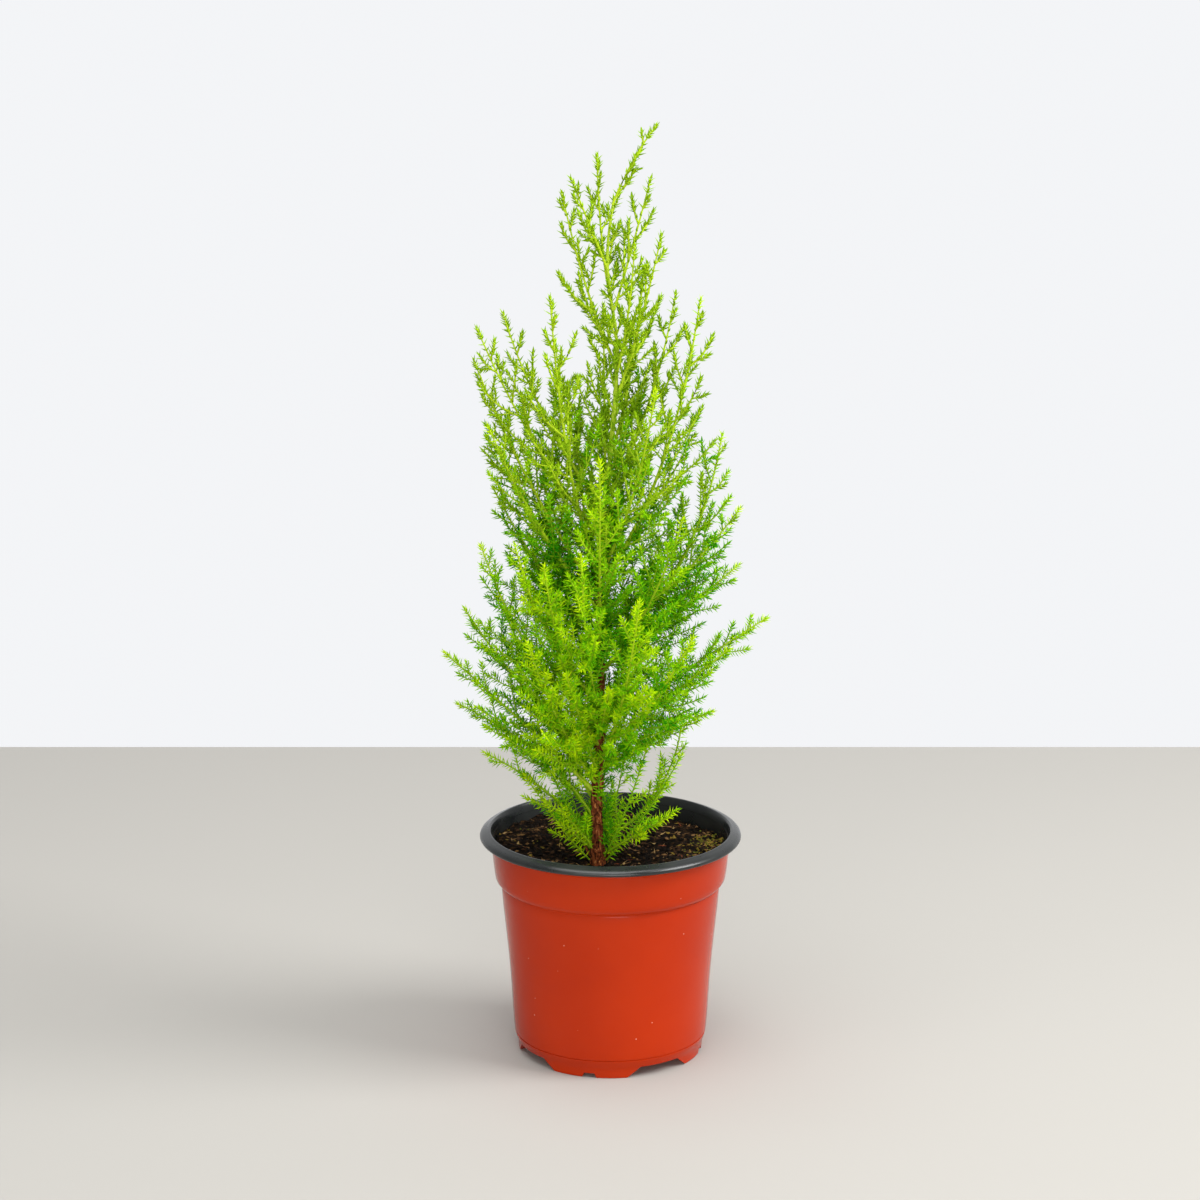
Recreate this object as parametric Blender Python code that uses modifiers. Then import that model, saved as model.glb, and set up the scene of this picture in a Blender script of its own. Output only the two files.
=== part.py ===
"""A young lemon cypress in its nursery pot.

The pot is formed from a two-layer sheet, red outside and black inside, with a rolled black rim.
It is filled with soil. One trunk runs up through a narrow crown of soft, needle-leaved shoots.

Units are metres, with +Z up. The origin is the centre of the pot's underside, and -Y is the front.
Sizes below are in millimetres and degrees, and MM turns them into metres where they are used.
"""

import math
import random

import bmesh
import bpy
import numpy as np
from mathutils import Matrix, Vector

MM = 0.001

# Clearance between pieces that touch on the real plant
GAP = 0.3

# Pot: outer radius of the red wall at each height, from the lip down to the seam above the feet
WALL = (
    (101.4, 54.7),
    (83.6, 53.05),
    (82.0, 52.4),
    (79.8, 50.45),
    (48.5, 47.35),
    (19.0, 45.3),
    (6.5, 44.0),
)
POT_SIDES = 32
RED_LAYER = 0.6
BLACK_LAYER = 0.55
FLOOR_UNDERSIDE = 5.6
FLOOR_TOP = 6.2
FOOT_OUTER = 42.6
FOOT_INNER = 35.0
PAD_RADIUS = 8.0

# The four arches between the feet, and the shallow notch in the middle of each foot
FOOT_TURN = -13.2
ARCH_HEIGHT = 5.0
ARCH_HALF_FOOT = 15.8
ARCH_HALF_TOP = 9.9
NOTCH_HEIGHT = 2.2
NOTCH_HALF_FOOT = 3.4
NOTCH_HALF_TOP = 2.4

# Rolled rim: radius and height, from the inner wall over the top to the lip and back under it
RIM = (
    (53.8, 102.6),
    (54.9, 104.8),
    (55.9, 105.5),
    (57.3, 105.1),
    (59.3, 104.0),
    (60.0, 102.9),
    (59.7, 102.1),
    (59.0, 101.7),
)
RIM_TOP = max(height for _, height in RIM)

# Soil: its height at the pot's wall and round the trunk's foot, the size of its waves, and how much
# lower it lies towards one side of the wall
SOIL_AT_WALL = 99.0
SOIL_AT_FOOT = 92.6
SOIL_HUB = 7.0
SOIL_WAVE = 0.7
SOIL_DIP = 3.4
SOIL_DIP_TOWARDS = 60.0

# Trunk: height, x, y and radius, from the flat cut at the soil to the tip
TRUNK = (
    (92.9, -5.7, -14.0, 3.5),
    (98.0, -5.8, -14.0, 2.8),
    (126.0, -6.2, -13.5, 2.4),
    (154.0, -4.7, -13.0, 1.8),
    (185.0, -4.5, -12.5, 1.5),
    (225.0, -5.9, -12.0, 1.3),
    (290.0, 0.5, -11.0, 1.0),
    (330.0, 2.6, -10.0, 0.8),
    (370.0, -1.6, -9.0, 0.6),
    (392.0, 0.6, -8.0, 0.5),
)
TRUNK_STEP = 12.0

# The leader's last shoot, from the trunk's tip to the top of the plant: sideways lean and height
LEADER_TIP = (19.2, -8.0, 426.0)

# Side shoots, each the stem of one mass of foliage. The columns are the height of its junction with
# the trunk, its direction (0 right, 90 back, 180 left, 270 front), how far out its tip stands, the
# height of its tip, and how much of that way out it goes before it climbs.
SIDE_SHOOTS = (
    (96, 343, 34, 119, 0.48),
    (96, 199, 25, 125, 0.34),
    (103, 1, 38, 158, 0.85),
    (98, 178, 51, 145, 0.30),
    (112, 166, 65, 164, 0.28),
    (126, 187, 68, 194, 0.48),
    (130, 236, 54, 208, 0.60),
    (134, 310, 64, 211, 0.55),
    (136, 253, 47, 194, 0.50),
    (137, 7, 52, 163, 0.45),
    (140, 288, 57, 229, 0.70),
    (142, 176, 60, 211, 0.60),
    (146, 337, 62, 200, 0.50),
    (148, 240, 48, 241, 0.70),
    (152, 275, 46, 187, 0.45),
    (158, 354, 74, 210, 0.50),
    (158, 193, 54, 244, 0.70),
    (161, 260, 49, 247, 0.75),
    (168, 219, 48, 248, 0.70),
    (182, 313, 52, 261, 0.65),
    (185, 12, 63, 229, 0.55),
    (190, 5, 54, 290, 0.80),
    (196, 347, 63, 261, 0.60),
    (196, 159, 51, 263, 0.60),
    (196, 270, 36, 286, 0.75),
    (212, 201, 51, 298, 0.60),
    (220, 172, 55, 323, 0.60),
    (222, 355, 45, 352, 0.75),
    (226, 314, 36, 315, 0.70),
    (228, 218, 26, 354, 0.75),
    (245, 186, 54, 339, 0.60),
    (258, 165, 46, 343, 0.65),
    (262, 30, 36, 351, 0.70),
    (305, 344, 21, 380, 0.58),
    (318, 301, 15, 376, 0.70),
    (321, 157, 26, 396, 0.62),
    (345, 17, 17, 403, 0.52),
    (364, 202, 17, 404, 0.50),
    (348, 138, 9, 413, 0.80),
)

# The back of the crown, which follows one rule: even steps up the trunk, turned by the golden ratio
BACK_SHOOTS = 11
BACK_FIRST = 120.0
BACK_STEP = 16.0
BACK_ARC = (50.0, 140.0)
BACK_REACH = 66.0
BACK_NARROWING = 0.24
BACK_CLIMB = 80.0
GOLDEN = 0.618

# The side shoots whose foot is a bare bough, by their place in SIDE_SHOOTS, and its share of the stem
BOUGHS = {5: 0.24, 15: 0.22, 16: 0.22, 21: 0.2}
BOUGH_RADIUS = 1.2
BOUGH_SIDES_RESOLUTION = 1

# Stems: bare and slim at the foot, then a leafy core that narrows to its tip
STEM_STEP = 14.0
FOOT_CORNER = 0.75
STEM_FOOT_RADIUS = 0.75
STEM_GIRTH = 0.0035
STEM_LEAFY_RADIUS = 1.9
STEM_TIP_RADIUS = 1.0

# Side twigs and sprays of needles, both spindles: half width, half thickness, and where they are widest
TWIG_STEP = 12.5
TWIG_TILT = 44.0
TWIG_SHARE = 0.34
TWIG_SHORTEST = 6.0
TWIG_LONGEST = 26.0
TWIG_RISE = 0.12
TWIG_SHAPE = (2.3, 1.2, 0.4)
FIRST_TWIG = 5.0
TWIG_SPREADS_AFTER = 20.0
SPRAY_LENGTH = 15.5
SPRAY_TILT = 40.0
SPRAY_SHAPE = (2.3, 0.7, 0.42)
SPRAY_EVERY = 11.1
TIP_SPRAY = 10.0
ROOT_SUNK = 0.5
TIP_SUNK = 4.0
GOLDEN_ANGLE = 137.5
CUT_BACK = (1.0, 0.78, 0.58)

# Room kept between the needles of one mass and the next, and between needles and the trunk
ROOM = 0.5
LIMB_ROOM = 0.9
SEED = 11

SAMPLES = 90


def remove_everything():
    for thing in list(bpy.data.objects):
        bpy.data.objects.remove(thing, do_unlink=True)


def new_material(name, colour, roughness):
    material = bpy.data.materials.new(name)
    material.use_nodes = True
    shader = material.node_tree.nodes["Principled BSDF"]
    shader.inputs["Base Color"].default_value = (*colour, 1.0)
    shader.inputs["Roughness"].default_value = roughness
    shader.inputs["Metallic"].default_value = 0.0
    return material


def new_collection(name, hidden=False):
    collection = bpy.data.collections.new(name)
    collection.hide_render = hidden
    bpy.context.scene.collection.children.link(collection)
    return collection


def new_object(name, data, collection, material=None):
    thing = bpy.data.objects.new(name, data)
    collection.objects.link(thing)
    if material:
        data.materials.append(material)
    return thing


def made_real(thing):
    """The object's mesh as its modifiers leave it, or as its curve does, with the caps welded."""
    graph = bpy.context.evaluated_depsgraph_get()
    mesh = bpy.data.meshes.new_from_object(thing.evaluated_get(graph), depsgraph=graph)
    edit = bmesh.new()
    edit.from_mesh(mesh)
    bmesh.ops.remove_doubles(edit, verts=edit.verts, dist=0.001 * MM)
    edit.to_mesh(mesh)
    edit.free()
    return mesh


def shade_round(thing, angle=40.0):
    thing.data.shade_smooth()
    thing.data.set_sharp_from_angle(angle=math.radians(angle))


def turned(name, profile, collection, material):
    """A solid of revolution. The profile is (radius, height) from the axis, and runs down its outer side."""
    mesh = bpy.data.meshes.new(name)
    points = [(radius * MM, 0.0, height * MM) for radius, height in profile]
    mesh.from_pydata(points, [(i, i + 1) for i in range(len(points) - 1)], [])
    thing = new_object(name, mesh, collection, material)
    screw = thing.modifiers.new("Turn", "SCREW")
    screw.steps = screw.render_steps = POT_SIDES
    screw.use_merge_vertices = True
    screw.merge_threshold = 0.01 * MM
    screw.use_smooth_shade = True
    return thing


def limb(name, points, radii, collection, material, resolution=0, section=None):
    """One tapering limb along a line of points, as a closed mesh, round or with a given cross-section."""
    curve = bpy.data.curves.new(name, "CURVE")
    curve.dimensions = "3D"
    if section:
        curve.bevel_mode = "OBJECT"
        curve.bevel_object = section
    else:
        curve.bevel_depth = 1.0 * MM
        curve.bevel_resolution = resolution
    curve.use_fill_caps = True
    spline = curve.splines.new("POLY")
    spline.points.add(len(points) - 1)
    for knot, point, radius in zip(spline.points, points, radii):
        knot.co = (*(Vector(point) * MM), 1.0)
        knot.radius = radius
    drawn = new_object(name + "_line", curve, collection)
    mesh = made_real(drawn)
    bpy.data.objects.remove(drawn, do_unlink=True)
    mesh.materials.clear()
    return new_object(name, mesh, collection, material)


def three_sided_section(collection):
    """The cross-section of a leafy stem, with its corners 1 mm from the middle."""
    curve = bpy.data.curves.new("stem_section", "CURVE")
    spline = curve.splines.new("POLY")
    spline.points.add(2)
    for corner, knot in enumerate(spline.points):
        turn = math.radians(-120.0 * corner)
        knot.co = (math.cos(turn) * MM, math.sin(turn) * MM, 0.0, 1.0)
    spline.use_cyclic_u = True
    section = new_object("stem_section", curve, collection)
    section.hide_render = True
    return section


def spindle(collection, root, direction, length, shape, turn):
    """A three-sided spindle from root to tip: a twig, or a flat spray of needles."""
    half_width, half_thickness, widest = shape
    mesh = bpy.data.meshes.new("spindle")
    edit = bmesh.new()
    verts = bmesh.ops.create_uvsphere(edit, u_segments=3, v_segments=2, radius=1.0)["verts"]
    for vert in verts:
        if abs(vert.co.z) < 0.5:
            vert.co.z = 2.0 * widest - 1.0
        vert.co.x *= half_thickness * MM
        vert.co.y *= half_width * MM
        vert.co.z *= length / 2 * MM
    axis = Vector(direction).normalized()
    place = Matrix.Translation((Vector(root) + axis * length / 2) * MM)
    lean = axis.to_track_quat("Z", "Y").to_matrix().to_4x4()
    edit.transform(place @ lean @ Matrix.Rotation(math.radians(turn), 4, "Z"))
    edit.to_mesh(mesh)
    edit.free()
    return new_object("spindle", mesh, collection)


def fuse(body, extras):
    """Joins a collection's solids to a body with one union, keeps the largest piece and clears the rest."""
    union = body.modifiers.new("Fuse", "BOOLEAN")
    union.operation = "UNION"
    union.operand_type = "COLLECTION"
    union.collection = extras
    union.solver = "MANIFOLD"
    material = body.data.materials[0]
    mesh = made_real(body)
    body.modifiers.clear()
    mesh.materials.clear()
    mesh.materials.append(material)
    body.data = mesh
    for thing in list(extras.objects):
        bpy.data.objects.remove(thing, do_unlink=True)
    drop_loose_scraps(mesh)


def drop_loose_scraps(mesh):
    edit = bmesh.new()
    edit.from_mesh(mesh)
    left = set(edit.faces)
    pieces = []
    while left:
        piece = [left.pop()]
        for face in piece:
            beside = {other for edge in face.edges for other in edge.link_faces} & left
            left -= beside
            piece.extend(beside)
        pieces.append(piece)
    pieces.sort(key=len)
    for piece in pieces[:-1]:
        bmesh.ops.delete(edit, geom=piece, context="FACES")
    edit.to_mesh(mesh)
    edit.free()


def wall_profile(inset, top, bottom):
    """The wall's (radius, height) points from top to bottom, moved inwards by the inset."""
    points = [(radius - inset, height) for height, radius in WALL if bottom < height < top]
    heights = [height for height, _ in reversed(WALL)]
    radii = [radius for _, radius in reversed(WALL)]
    ends = [(float(np.interp(height, heights, radii)) - inset, height) for height in (top, bottom)]
    return [ends[0], *points, ends[1]]


def make_pot_shell(collection, cutters, material):
    """The red outer layer, with its floor, ring of feet and the pad under the middle."""
    inside = wall_profile(RED_LAYER, WALL[0][0], FLOOR_TOP + 5.0)
    outside = [(radius, height) for height, radius in WALL]
    floor_radius = WALL[-1][1] - 1.2
    profile = [
        (0.0, FLOOR_TOP),
        (floor_radius, FLOOR_TOP),
        *reversed(inside),
        *outside,
        (WALL[-1][1] - 0.6, FLOOR_UNDERSIDE),
        (FOOT_OUTER, 0.0),
        (FOOT_INNER, 0.0),
        (FOOT_INNER - 1.0, FLOOR_UNDERSIDE),
        (PAD_RADIUS + 1.5, FLOOR_UNDERSIDE),
        (PAD_RADIUS, 0.0),
        (0.0, 0.0),
    ]
    shell = turned("pot_shell", profile, collection, material)
    cut = shell.modifiers.new("Feet", "BOOLEAN")
    cut.operation = "DIFFERENCE"
    cut.object = make_foot_cutter(cutters)
    cut.solver = "EXACT"
    return shell


def make_foot_cutter(cutters):
    """Eight wedges that run out under the pot: four arches between the feet, and a notch in each foot."""
    edit = bmesh.new()
    middle = (FOOT_INNER + FOOT_OUTER) / 2
    depth = FOOT_OUTER - FOOT_INNER + 12.0
    for quarter in range(4):
        foot = FOOT_TURN + 90 * quarter
        add_wedge(edit, foot + 45.0, middle, depth, ARCH_HEIGHT, ARCH_HALF_FOOT, ARCH_HALF_TOP)
        add_wedge(edit, foot, middle, depth, NOTCH_HEIGHT, NOTCH_HALF_FOOT, NOTCH_HALF_TOP)
    mesh = bpy.data.meshes.new("foot_cutter")
    edit.to_mesh(mesh)
    edit.free()
    cutter = new_object("foot_cutter", mesh, cutters)
    cutter.hide_render = True
    cutter.display_type = "WIRE"
    return cutter


def add_wedge(edit, angle, radius, depth, height, half_foot, half_top):
    """A block across the ring of feet, wider at the ground than at its top."""
    below = 2.0
    made = bmesh.ops.create_cube(edit, size=1.0)["verts"]
    slope = (half_foot - half_top) / height
    for vert in made:
        low = vert.co.z < 0
        half = half_foot + slope * below if low else half_top
        vert.co.x = math.copysign(half, vert.co.x) * MM
        vert.co.y = (math.copysign(depth / 2, vert.co.y) - radius) * MM
        vert.co.z = (-below if low else height) * MM
    bmesh.ops.rotate(edit, verts=made, matrix=Matrix.Rotation(math.radians(angle), 3, "Z"))


def make_pot_liner(collection, material):
    """The black inner layer, with its rolled rim."""
    outset = RED_LAYER + GAP
    inset = outset + BLACK_LAYER
    underside = WALL[0][0] + GAP
    floor = FLOOR_TOP + GAP
    outer = wall_profile(outset, WALL[0][0], floor + 5.0)
    inner = wall_profile(inset, WALL[0][0], floor + 5.0)
    floor_radius = WALL[-1][1] - 1.2 - GAP
    profile = [
        (0.0, floor + BLACK_LAYER),
        (floor_radius - BLACK_LAYER, floor + BLACK_LAYER),
        *reversed(inner),
        *RIM,
        (outer[0][0] + 0.1, underside),
        *outer[1:],
        (floor_radius, floor),
        (0.0, floor),
    ]
    return turned("pot_liner", profile, collection, material)


def soil_at_wall(x, y):
    towards = math.atan2(y, x) - math.radians(SOIL_DIP_TOWARDS)
    return SOIL_AT_WALL - SOIL_DIP * max(0.0, math.cos(towards)) ** 2


def soil_height(x, y):
    """The soil's surface, dished towards the trunk's foot, with slow waves that fade out there."""
    away = math.hypot(x - TRUNK[0][1], y - TRUNK[0][2])
    share = min(1.0, max(0.0, (away - SOIL_HUB) / 38.0))
    rise = share * share * (3 - 2 * share)
    wave = SOIL_WAVE * (math.sin(x / 7.1 + 1.3) * math.cos(y / 8.3) + 0.5 * math.sin((x + y) / 4.7))
    return SOIL_AT_FOOT + (soil_at_wall(x, y) - SOIL_AT_FOOT) * rise + wave * min(1.0, 2 * share)


def make_soil(collection, material):
    inset = RED_LAYER + BLACK_LAYER + 2 * GAP
    floor = FLOOR_TOP + BLACK_LAYER + 2 * GAP
    side = wall_profile(inset, SOIL_AT_WALL - SOIL_DIP, floor + 5.0)
    rim = side[0][0]
    side[0] = (rim, SOIL_AT_WALL)
    rings = [rim * share for share in (0.8, 0.6, 0.42, 0.27)]
    floor_radius = WALL[-1][1] - 1.2 - 2 * GAP - BLACK_LAYER
    profile = [
        (0.0, SOIL_AT_WALL),
        (SOIL_HUB, SOIL_AT_WALL),
        *[(radius, SOIL_AT_WALL) for radius in reversed(rings)],
        *side,
        (floor_radius, floor),
        (0.0, floor),
    ]
    soil = turned("soil", profile, collection, material)
    mesh = made_real(soil)
    mesh.materials.clear()
    mesh.materials.append(material)
    soil.modifiers.clear()
    soil.data = mesh
    for vert in mesh.vertices:
        if vert.co.z / MM < SOIL_AT_WALL - 0.01:
            continue
        radius = math.hypot(vert.co.x, vert.co.y) / MM
        if radius > rim - 0.5:
            vert.co.z = soil_at_wall(vert.co.x, vert.co.y) * MM
            continue
        share = 1.0 - radius / rim
        vert.co.x += share * TRUNK[0][1] * MM
        vert.co.y += share * TRUNK[0][2] * MM
        vert.co.z = soil_height(vert.co.x / MM, vert.co.y / MM) * MM
    return soil


def trunk_at(height):
    """The trunk's axis point and radius at a height, on a smooth line through its bends."""
    rows = np.array(TRUNK)
    heights = rows[:, 0]
    slopes = np.gradient(rows[:, 1:], heights, axis=0)
    at = int(np.clip(np.searchsorted(heights, height) - 1, 0, len(rows) - 2))
    span = heights[at + 1] - heights[at]
    t = (height - heights[at]) / span
    x, y, radius = (
        (2 * t**3 - 3 * t**2 + 1) * rows[at, 1:]
        + (t**3 - 2 * t**2 + t) * span * slopes[at]
        + (3 * t**2 - 2 * t**3) * rows[at + 1, 1:]
        + (t**3 - t**2) * span * slopes[at + 1]
    )
    return np.array([x, y, height]), float(np.interp(height, heights, rows[:, 3]))


def make_trunk(collection, material):
    bottom, top = TRUNK[0][0], TRUNK[-1][0]
    steps = round((top - bottom) / TRUNK_STEP)
    heights = [bottom, bottom + 2.0, bottom + 5.0, *np.linspace(bottom + TRUNK_STEP, top, steps)]
    points, radii = zip(*(trunk_at(height) for height in heights))
    # The first stretch stands upright, so that the cut at the soil is level.
    points[1][:2] = points[0][:2]
    trunk = limb("trunk", points, radii, collection, material, resolution=2)
    shade_round(trunk, 60.0)
    return trunk


def back_shoots():
    """The rows of the shoots that the front view hides, like those of SIDE_SHOOTS."""
    rows = []
    low, high = BACK_ARC
    for number in range(BACK_SHOOTS):
        foot = BACK_FIRST + BACK_STEP * number
        direction = low + (high - low) * ((0.9 + GOLDEN * number) % 1.0)
        reach = BACK_REACH - BACK_NARROWING * (foot - BACK_FIRST)
        bow = 0.55 + 0.015 * number
        rows.append((foot, direction, reach, foot + BACK_CLIMB, bow))
    return rows


def bent_line(foot, tip, bow):
    """A stem's line: it goes out first and then climbs, as points from the trunk's axis to its tip."""
    foot, tip = np.array(foot, float), np.array(tip, float)
    way = tip - foot
    knee = foot + way * (bow, bow, 0.5 - 0.6 * (bow - 0.5))
    t = np.linspace(0.0, 1.0, SAMPLES)[:, None]
    return (1 - t) ** 2 * foot + 2 * t * (1 - t) * knee + t**2 * tip


def side_word(direction):
    words = ("right", "back_right", "back", "back_left", "left", "front_left", "front", "front_right")
    return words[round(direction / 45.0) % 8]


def plan_stems():
    """Every mass's name, line and bough, from the leader down the list of side shoots."""
    top, _ = trunk_at(TRUNK[-1][0])
    stems = [("leader", bent_line(top, LEADER_TIP, 0.4), None)]
    for number, (height, direction, reach, tip_height, bow) in enumerate([*SIDE_SHOOTS, *back_shoots()]):
        foot, _ = trunk_at(height)
        turn = math.radians(direction)
        tip = (foot[0] + reach * math.cos(turn), foot[1] + reach * math.sin(turn), tip_height)
        stems.append((side_word(direction), bent_line(foot, tip, bow), BOUGHS.get(number)))
    return stems


def leaves_trunk(line, radius):
    """The fractional sample number at which a flat-ended stem of this radius clears the trunk."""
    for place in np.arange(0.5, len(line) - 2, 0.05):
        point, way = along(line, place)
        centre, girth = trunk_at(min(point[2], TRUNK[-1][0]))
        out = point - centre
        distance = np.linalg.norm(out[:2])
        inward = FOOT_CORNER * radius * math.sqrt(1.0 - min(1.0, (way @ out) / np.linalg.norm(out)) ** 2)
        if distance >= girth + GAP + inward:
            return place
    return 1.0


def along(line, place):
    """The point and direction at a fractional sample number."""
    low = min(int(place), len(line) - 2)
    step = line[low + 1] - line[low]
    return line[low] + step * (place - low), step / np.linalg.norm(step)


def after(line, distance):
    """The fractional sample number at a distance along a line of even samples."""
    return distance / length_of(line) * (len(line) - 1)


def length_of(line):
    return float(np.linalg.norm(np.diff(line, axis=0), axis=1).sum())


def to_segments(points, line):
    """The least distance from each point to a line of samples."""
    start, step = line[:-1], np.diff(line, axis=0)
    away = points[:, None] - start
    share = np.clip((away * step).sum(2) / (step * step).sum(1), 0.0, 1.0)
    return np.linalg.norm(away - share[..., None] * step, axis=2).min(axis=1)


class Space:
    """Says whether a twig keeps to its own mass's space: nearer to its own stem than to any other."""

    def __init__(self, stems):
        self.lines = [line[::3] for _, line, _ in stems]
        heights = np.linspace(TRUNK[0][0], TRUNK[-1][0], 60)
        rows = [trunk_at(height) for height in heights]
        self.trunk = np.array([point for point, _ in rows])
        self.girth = np.array([radius for _, radius in rows])

    def holds(self, owner, root, tip, shape):
        """Whether a spindle from root to tip, of the given shape, is in its own mass's space."""
        half_width, _, widest = shape
        shares = np.array((widest, 0.5 + 0.5 * widest, 1.0))
        points = root + (tip - root) * shares[:, None]
        widths = half_width * (1.0 - shares) / (1.0 - widest)
        own = to_segments(points, self.lines[owner])
        for other, line in enumerate(self.lines):
            if other != owner and (to_segments(points, line) < own + 2 * widths + ROOM).any():
                return False
        near = np.linalg.norm(points[:, None] - self.trunk, axis=2) - self.girth - widths[:, None]
        if near.min() < LIMB_ROOM:
            return False
        away = np.hypot(points[:, 0], points[:, 1]) + widths
        low = points[:, 2] - widths < RIM_TOP + 1.0
        if ((away > RIM[0][0] - 1.0) & low).any():
            return False
        over_soil = [z - width - soil_height(x, y) for (x, y, z), width in zip(points, widths)]
        return min(over_soil) > 1.0


def aside(way, tilt, turn):
    """A direction that leans away from another by a tilt, turned round it."""
    way = Vector(way)
    across = way.orthogonal().normalized()
    across.rotate(Matrix.Rotation(math.radians(turn), 3, way))
    return way * math.cos(math.radians(tilt)) + across * math.sin(math.radians(tilt))


def fitted(space, owner, foot, way, tilt, turns, sizes, rise, shape):
    """The root and tip of the longest spindle that keeps to its space, trying each way round, or None."""
    for size in sizes:
        for turn in turns:
            direction = aside(way, tilt, turn) + Vector((0.0, 0.0, rise))
            direction = np.array(direction.normalized())
            root = foot - direction * ROOT_SUNK
            if space.holds(owner, root, root + direction * size, shape):
                return root, direction, size
    return None


def grow_sprays(space, owner, extras, foot, way, length, rng, turn):
    """Sprays of needles along a straight twig. Those that find no room are skipped."""
    count = max(1, round(length / SPRAY_EVERY))
    for number in range(count):
        share = 0.25 + 0.55 * (number + 0.5) / count
        turn += 180.0 + rng.uniform(-40.0, 40.0)
        turns = [turn + step for step in (0.0, 50.0, -50.0, 100.0)]
        size = SPRAY_LENGTH * rng.uniform(0.8, 1.1)
        at = foot + way * length * share
        found = fitted(space, owner, at, way, SPRAY_TILT, turns, (size, size * 0.7), 0.0, SPRAY_SHAPE)
        if found:
            spindle(extras, *found, SPRAY_SHAPE, rng.uniform(0.0, 180.0))


def grow_twig(space, owner, extras, foot, way, size, rng, turn):
    """A side twig with its sprays, turned or cut back until it keeps to the mass's space."""
    tilt = TWIG_TILT + rng.uniform(-6.0, 6.0)
    sizes = [size * cut for cut in CUT_BACK]
    turns = [turn + step for step in (0.0, 60.0, -60.0, 120.0, -120.0)]
    found = fitted(space, owner, foot, way, tilt, turns, sizes, TWIG_RISE, TWIG_SHAPE)
    if found:
        spindle(extras, *found, TWIG_SHAPE, rng.uniform(0.0, 180.0))
        grow_sprays(space, owner, extras, *found, rng, turn)


def grow_mass(number, name, line, start, space, collection, extras, section, material):
    """One mass of foliage: a stem with side twigs, and sprays of needles on them, fused together."""
    rng = random.Random(SEED + number)
    foot_radius = STEM_FOOT_RADIUS + STEM_GIRTH * length_of(line)
    knots = max(4, round(length_of(line) / STEM_STEP) + 1)
    end = len(line) - 1 - after(line, TIP_SPRAY)
    stem = np.array([along(line, place)[0] for place in np.linspace(start, end, knots)])
    girths = np.linspace(STEM_LEAFY_RADIUS, STEM_TIP_RADIUS, knots)
    girths[0] = foot_radius
    mass = limb(name, stem, girths, collection, material, section=section)

    reach = length_of(stem)
    turn = rng.uniform(0.0, 360.0)
    run = FIRST_TWIG + rng.uniform(0.0, 3.0)
    while run < reach - 2.0:
        foot, way = along(stem, run / reach * (knots - 1))
        size = min(TWIG_SHORTEST + TWIG_SHARE * (reach - run), TWIG_LONGEST)
        size *= min(1.0, 0.35 + run / TWIG_SPREADS_AFTER) * rng.uniform(0.8, 1.1)
        turn += GOLDEN_ANGLE + rng.uniform(-14.0, 14.0)
        grow_twig(space, number, extras, foot, way, size, rng, turn)
        run += TWIG_STEP * (0.55 + 0.45 * min(1.0, size / 14.0))
    root, _ = along(stem, knots - 1 - after(stem, TIP_SUNK))
    way = (line[-1] - root) / np.linalg.norm(line[-1] - root)
    spindle(extras, root, way, TIP_SPRAY + TIP_SUNK, SPRAY_SHAPE, rng.uniform(0.0, 180.0))
    fuse(mass, extras)
    return mass


def make_crown(collection, extras, section, leaf, bark):
    stems = plan_stems()
    space = Space(stems)
    for number, (side, line, bough_share) in enumerate(stems):
        girth = STEM_FOOT_RADIUS + STEM_GIRTH * length_of(line)
        start = leaves_trunk(line, girth) if number else after(line, GAP + girth / 2)
        if bough_share:
            first = leaves_trunk(line, BOUGH_RADIUS)
            last = bough_share * (len(line) - 1)
            places = np.linspace(first, last, 4)
            points = [along(line, place)[0] for place in places]
            radii = np.linspace(BOUGH_RADIUS, girth * 1.05, 4)
            name = f"bough_{side}_{number:02d}"
            bough = limb(name, points, radii, collection, bark, BOUGH_SIDES_RESOLUTION)
            shade_round(bough, 60.0)
            start = last + after(line, GAP)
        name = f"foliage_{number:02d}_{side}"
        grow_mass(number, name, line, start, space, collection, extras, section, leaf)


def main():
    remove_everything()
    parts = new_collection("potted_lemon_cypress")
    cutters = new_collection("cutters", hidden=True)
    extras = new_collection("twigs_to_fuse", hidden=True)
    red = new_material("red_plastic", (0.52, 0.055, 0.022), 0.32)
    black = new_material("black_plastic", (0.02, 0.022, 0.022), 0.35)
    earth = new_material("soil", (0.035, 0.018, 0.01), 0.95)
    bark = new_material("bark", (0.11, 0.035, 0.018), 0.85)
    leaf = new_material("foliage", (0.25, 0.5, 0.02), 0.55)
    make_pot_shell(parts, cutters, red)
    make_pot_liner(parts, black)
    make_soil(parts, earth)
    make_trunk(parts, bark)
    make_crown(parts, extras, three_sided_section(cutters), leaf, bark)


main()
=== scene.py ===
"""The looks of the potted lemon cypress: needles, twigs, bark, soil and the finish of the pot.

Sizes are in millimetres and degrees, as in the part's source, and MM turns them into metres.
"""

import math
import random

import bmesh
import bpy
import numpy as np
from mathutils import Matrix, Vector, noise


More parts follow.
